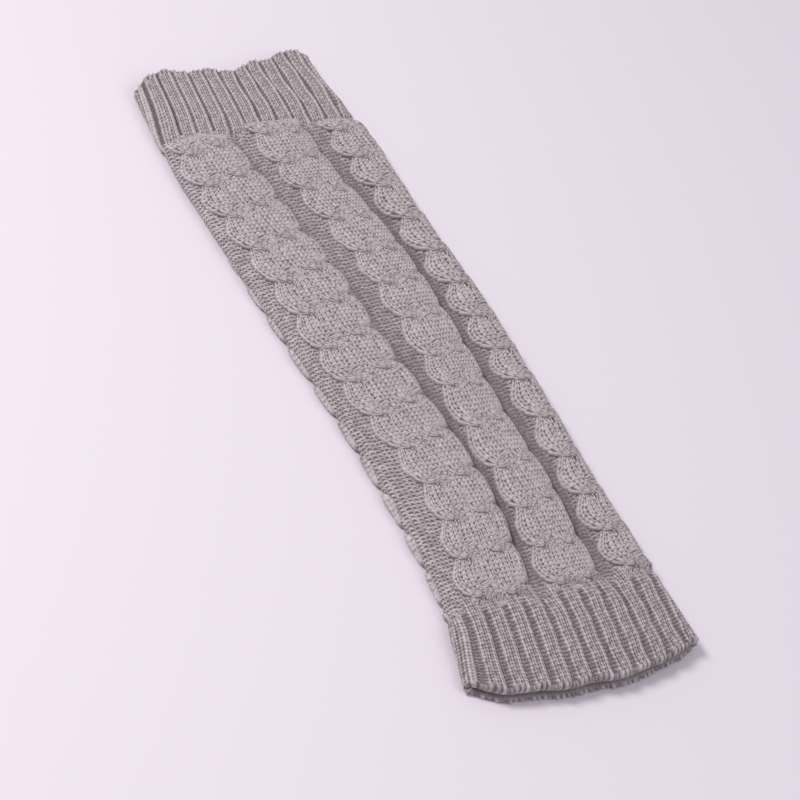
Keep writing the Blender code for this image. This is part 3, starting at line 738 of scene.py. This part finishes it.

        # painted light and shade: darker purl valleys, a painted highlight on a rib's last wale, painted shade lines
        # between the wales, and the whole cuff a little darker
        shaded = relief * (cuff["valleyShade"] + (1 - cuff["valleyShade"]) * raised)
        partingShade = np.clip(1 - np.abs(within - knit + 1.05) / 0.3, 0, 1)
        partingShade += 0.5 * np.clip(1 - np.abs(within - 1) / 0.3, 0, 1)
        shaded += cuff["edgeLight"] * lastWale - cuff["partingShade"] * partingShade - cuff["shade"]
        # painted shade on the rim's underside and inside: darker on the upper layer, whose inside faces down, and
        # darker still further in
        over = place % (2 * section["layer"]) < section["layer"]
        inside = np.where(over, 0.2, 0.6) - 0.5 * (row > outerRows + rimSteps + 2)
        underneath = ease((deep - 0.8) / 0.2)
        shaded = shaded * (1 - underneath) + inside * underneath
        return pointsAt(section, place, y, height, 0.0, realY), shaded, inKnit * (1 - deep) * (1 - nearRim)

    def stitchUv(column, row):
        return column / cuffMesh["acrossWale"], rowPlace(row)[0] / total * cuff["rows"]

    return knitGrid(name, columns, rows, shape, stitchUv)


def waleAt(section, place):
    # the body's wale that lies at a place round the ring, from -3 at the left fold
    repeat, cable, total = tube["repeatWales"], tube["cableWales"], tube["wales"]
    over = [placeOver(section, section[name]) for name in ("left1", "right1", "left2", "right2", "left3")]
    waleWidth = (section["right1"] - section["left1"]) / cable
    counts = [-section["leftWales"], 0, cable, repeat, repeat + cable, 2 * repeat]
    counts += [2 * repeat + (section["layer"] - over[4]) / waleWidth, total - section["leftWales"]]
    places = [np.zeros_like(section["left"])] + over + [section["layer"], 2 * section["layer"]]
    place = place % (2 * section["layer"])
    result = counts[0] + 0 * place
    for i in range(len(counts) - 1):
        part = (place - places[i]) / (places[i + 1] - places[i])
        result = np.where(place >= places[i], counts[i] + (counts[i + 1] - counts[i]) * part, result)
    return result


# one yarn for the whole tube
yarn = {
    "colour": (0.50, 0.438, 0.456, 1),
    # the colour of painted shade in the hollows between the stitches
    "hollowShade": (0.15, 0.125, 0.13, 1),
    "pale": (0.74, 0.68, 0.69, 1),
    "roughness": 0.9,
    "sheen": 0.25,
    "flecks": 2400.0,  # to a metre
    "fibre": 0.00012,
    "slant": 0.08,  # how far the legs of a stitch lean, in wales
    "legWidth": 0.25,
    "gapShade": 0.3,  # how dark the painted shade in the gaps beside the legs is
    "legHeight": 0.0004,
}


def calculate(nodes, links, operation, *values):
    # a math node on sockets or plain numbers
    node = nodes.new("ShaderNodeMath")
    node.operation = operation
    for socket, value in zip(node.inputs, values):
        if isinstance(value, bpy.types.NodeSocket):
            links.new(value, socket)
        else:
            socket.default_value = value
    return node.outputs["Value"]


def stitchGroup():
    # the legs of the knit stitches, from the count of wales and rows: each pair leans in to its foot
    group = bpy.data.node_groups.new("knitStitch", "ShaderNodeTree")
    for socket in ("Slant", "Width"):
        group.interface.new_socket(socket, in_out="INPUT", socket_type="NodeSocketFloat")
    group.interface.new_socket("Legs", in_out="OUTPUT", socket_type="NodeSocketFloat")
    nodes, links = group.nodes, group.links
    given = nodes.new("NodeGroupInput")
    made = nodes.new("NodeGroupOutput")
    counted = nodes.new("ShaderNodeUVMap")
    counted.uv_map = "stitches"
    apart = nodes.new("ShaderNodeSeparateXYZ")
    links.new(counted.outputs["UV"], apart.inputs["Vector"])
    across = calculate(nodes, links, "FRACT", apart.outputs["X"])
    fromMiddle = calculate(nodes, links, "ABSOLUTE", calculate(nodes, links, "SUBTRACT", across, 0.5))
    along = calculate(nodes, links, "FRACT", apart.outputs["Y"])
    lean = calculate(nodes, links, "COSINE", calculate(nodes, links, "MULTIPLY", along, math.pi))
    legPlace = calculate(nodes, links, "MULTIPLY_ADD", lean, given.outputs["Slant"], 0.265)
    off = calculate(nodes, links, "SUBTRACT", fromMiddle, legPlace)
    off = calculate(nodes, links, "DIVIDE", off, given.outputs["Width"])
    fromEnds = calculate(nodes, links, "MULTIPLY", calculate(nodes, links, "SUBTRACT", along, 0.5), 1.75)
    ends = calculate(nodes, links, "POWER", calculate(nodes, links, "ABSOLUTE", fromEnds), 4.0)
    share = calculate(nodes, links, "SUBTRACT", 1.0, calculate(nodes, links, "MULTIPLY", off, off))
    share = calculate(nodes, links, "SUBTRACT", share, ends)
    links.new(calculate(nodes, links, "MAXIMUM", share, 0.0), made.inputs["Legs"])
    return group


def fibreAndShadeGroup():
    # the look of spun wool: pale and dark fibres, and painted shade that darkens the hollows between the stitches
    group = bpy.data.node_groups.new("spunWoolWithShade", "ShaderNodeTree")
    for socket, kind in (("Colour", "NodeSocketColor"), ("HollowShade", "NodeSocketColor"), ("Pale", "NodeSocketColor"),
                         ("Flecks", "NodeSocketFloat"), ("PaintedShade", "NodeSocketFloat")):
        group.interface.new_socket(socket, in_out="INPUT", socket_type=kind)
    group.interface.new_socket("Colour", in_out="OUTPUT", socket_type="NodeSocketColor")
    group.interface.new_socket("Fibres", in_out="OUTPUT", socket_type="NodeSocketFloat")
    nodes, links = group.nodes, group.links
    given = nodes.new("NodeGroupInput")
    made = nodes.new("NodeGroupOutput")
    place = nodes.new("ShaderNodeTexCoord")
    fine = nodes.new("ShaderNodeTexNoise")
    fine.inputs["Detail"].default_value = 3.0
    fine.inputs["Roughness"].default_value = 0.65
    links.new(place.outputs["Object"], fine.inputs["Vector"])
    links.new(given.outputs["Flecks"], fine.inputs["Scale"])
    broad = nodes.new("ShaderNodeTexNoise")
    broad.inputs["Scale"].default_value = 800.0
    broad.inputs["Detail"].default_value = 2.0
    links.new(place.outputs["Object"], broad.inputs["Vector"])
    paleShare = nodes.new("ShaderNodeMapRange")
    paleShare.inputs["From Min"].default_value = 0.5
    paleShare.inputs["From Max"].default_value = 0.75
    links.new(fine.outputs["Fac"], paleShare.inputs["Value"])
    mixPale = nodes.new("ShaderNodeMix")
    mixPale.data_type = "RGBA"
    links.new(paleShare.outputs["Result"], mixPale.inputs["Factor"])
    links.new(given.outputs["Colour"], mixPale.inputs["A"])
    links.new(given.outputs["Pale"], mixPale.inputs["B"])
    # painted shade: the lower a point's shade value, the more it takes the hollow colour
    hollowShadeShare = nodes.new("ShaderNodeMapRange")
    hollowShadeShare.inputs["From Min"].default_value = 0.75
    hollowShadeShare.inputs["From Max"].default_value = 0.1
    links.new(given.outputs["PaintedShade"], hollowShadeShare.inputs["Value"])
    mixHollowShade = nodes.new("ShaderNodeMix")
    mixHollowShade.data_type = "RGBA"
    links.new(hollowShadeShare.outputs["Result"], mixHollowShade.inputs["Factor"])
    links.new(mixPale.outputs["Result"], mixHollowShade.inputs["A"])
    links.new(given.outputs["HollowShade"], mixHollowShade.inputs["B"])
    cloud = nodes.new("ShaderNodeMapRange")
    cloud.inputs["From Min"].default_value = 0.3
    cloud.inputs["From Max"].default_value = 0.7
    cloud.inputs["To Min"].default_value = 0.83
    cloud.inputs["To Max"].default_value = 1.16
    links.new(broad.outputs["Fac"], cloud.inputs["Value"])
    shade = nodes.new("ShaderNodeVectorMath")
    shade.operation = "SCALE"
    links.new(mixHollowShade.outputs["Result"], shade.inputs[0])
    links.new(cloud.outputs["Result"], shade.inputs["Scale"])
    links.new(shade.outputs["Vector"], made.inputs["Colour"])
    links.new(fine.outputs["Fac"], made.inputs["Fibres"])
    return group


def woolMaterial(name, group, stitches):
    material = bpy.data.materials.new(name)
    material.use_nodes = True
    nodes, links = material.node_tree.nodes, material.node_tree.links
    shader = nodes["Principled BSDF"]
    shader.inputs["Roughness"].default_value = yarn["roughness"]
    shader.inputs["Sheen Weight"].default_value = yarn["sheen"]
    shader.inputs["Sheen Roughness"].default_value = 0.5
    shader.inputs["Specular IOR Level"].default_value = 0.2
    wool = nodes.new("ShaderNodeGroup")
    wool.node_tree = group
    wool.inputs["Colour"].default_value = yarn["colour"]
    wool.inputs["HollowShade"].default_value = yarn["hollowShade"]
    wool.inputs["Pale"].default_value = yarn["pale"]
    wool.inputs["Flecks"].default_value = yarn["flecks"]
    # painted shade at each point, from the stitches' relief, the creases and the shadows
    paintedShade, knit = nodes.new("ShaderNodeAttribute"), nodes.new("ShaderNodeAttribute")
    paintedShade.attribute_name, knit.attribute_name = "paintedShade", "knit"
    drawn = nodes.new("ShaderNodeGroup")
    drawn.node_tree = stitches
    drawn.inputs["Slant"].default_value = yarn["slant"]
    drawn.inputs["Width"].default_value = yarn["legWidth"]
    # painted shade in the gaps beside the legs of the knit stitches
    gaps = calculate(nodes, links, "SUBTRACT", 1.0, drawn.outputs["Legs"])
    gaps = calculate(nodes, links, "MULTIPLY", gaps, knit.outputs["Fac"])
    dark = calculate(nodes, links, "MULTIPLY", gaps, yarn["gapShade"])
    links.new(calculate(nodes, links, "SUBTRACT", paintedShade.outputs["Fac"], dark), wool.inputs["PaintedShade"])
    links.new(wool.outputs["Colour"], shader.inputs["Base Color"])
    legs = nodes.new("ShaderNodeBump")
    legs.invert = True
    legs.inputs["Strength"].default_value = 0.4
    legs.inputs["Distance"].default_value = yarn["legHeight"]
    links.new(gaps, legs.inputs["Height"])
    bump = nodes.new("ShaderNodeBump")
    bump.inputs["Strength"].default_value = 0.6
    bump.inputs["Distance"].default_value = yarn["fibre"]
    links.new(wool.outputs["Fibres"], bump.inputs["Height"])
    links.new(legs.outputs["Normal"], bump.inputs["Normal"])
    links.new(bump.outputs["Normal"], shader.inputs["Normal"])
    return material


def dress(piece, material, node):
    piece.data.materials.append(material)
    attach(piece, "root")
    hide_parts(node)


body = makeGround("purlGround")
print("purl ground:", len(body.data.polygons), "faces")
cables = []
for index, name in enumerate(cableNames):
    shows = index < 3
    cables.append(makeCable(index, 4 if shows else 3, 5 if shows else 4))
    print(name + ":", len(cables[-1].data.polygons), "faces")
knee = makeCuff("kneeRibs", kneeCuff)
ankle = makeCuff("ankleRibs", ankleCuff)
print("cuffs:", len(knee.data.polygons), "and", len(ankle.data.polygons), "faces")

wool = woolMaterial("greyWool", fibreAndShadeGroup(), stitchGroup())
dress(body, wool, "cable_body")
for piece in cables:
    dress(piece, wool, "cable_body")
dress(knee, wool, "knee_cuff")
dress(ankle, wool, "ankle_cuff")

# the table, the light and the camera
view = {
    "aim": (-0.0092, -0.0225, 0.0),
    "right": (0.81431, -0.45611, 0.35897),
    "up": (0.13992, 0.75447, 0.64124),
    "back": (-0.56331, -0.47194, 0.67819),
    "distance": 1.809,
    "lens": 162.0,
}
table = {"size": 3.0, "colour": (0.80, 0.735, 0.81, 1), "roughness": 0.8}


def makeStage():
    work = bmesh.new()
    bmesh.ops.create_grid(work, x_segments=1, y_segments=1, size=table["size"])
    mesh = bpy.data.meshes.new("table")
    work.to_mesh(mesh)
    work.free()
    top = bpy.data.objects.new("table", mesh)
    bpy.context.scene.collection.objects.link(top)
    material = bpy.data.materials.new("paleTable")
    material.use_nodes = True
    shader = material.node_tree.nodes["Principled BSDF"]
    shader.inputs["Base Color"].default_value = table["colour"]
    shader.inputs["Roughness"].default_value = table["roughness"]
    mesh.materials.append(material)


def areaLight(name, place, aim, size, power, colour):
    data = bpy.data.lights.new(name, "AREA")
    data.shape = "DISK"
    data.size = size
    data.energy = power
    data.color = colour
    light = bpy.data.objects.new(name, data)
    light.location = place
    light.rotation_euler = (Vector(aim) - Vector(place)).to_track_quat("-Z", "Y").to_euler()
    bpy.context.scene.collection.objects.link(light)


def makeLight():
    areaLight("key", (-1.15, 0.65, 1.45), (0, 0, 0), 0.7, 26, (1.0, 0.985, 0.97))
    areaLight("fill", (0.8, -1.2, 1.8), (0, 0, 0), 1.8, 6, (0.97, 0.96, 1.0))
    world = bpy.data.worlds.new("room")
    bpy.context.scene.world = world
    world.use_nodes = True
    world.node_tree.nodes["Background"].inputs["Color"].default_value = (0.97, 0.95, 1.0, 1)
    world.node_tree.nodes["Background"].inputs["Strength"].default_value = 0.5


def makeCamera():
    data = bpy.data.cameras.new("camera")
    data.lens = view["lens"]
    data.sensor_width = 36.0
    camera = bpy.data.objects.new("camera", data)
    turn = Matrix((view["right"], view["up"], view["back"])).transposed()
    place = Vector(view["aim"]) + view["distance"] * Vector(view["back"])
    camera.matrix_world = Matrix.Translation(place) @ turn.to_4x4()
    bpy.context.scene.collection.objects.link(camera)
    bpy.context.scene.camera = camera
    bpy.context.scene.view_settings.view_transform = "Standard"


makeStage()
makeLight()
makeCamera()
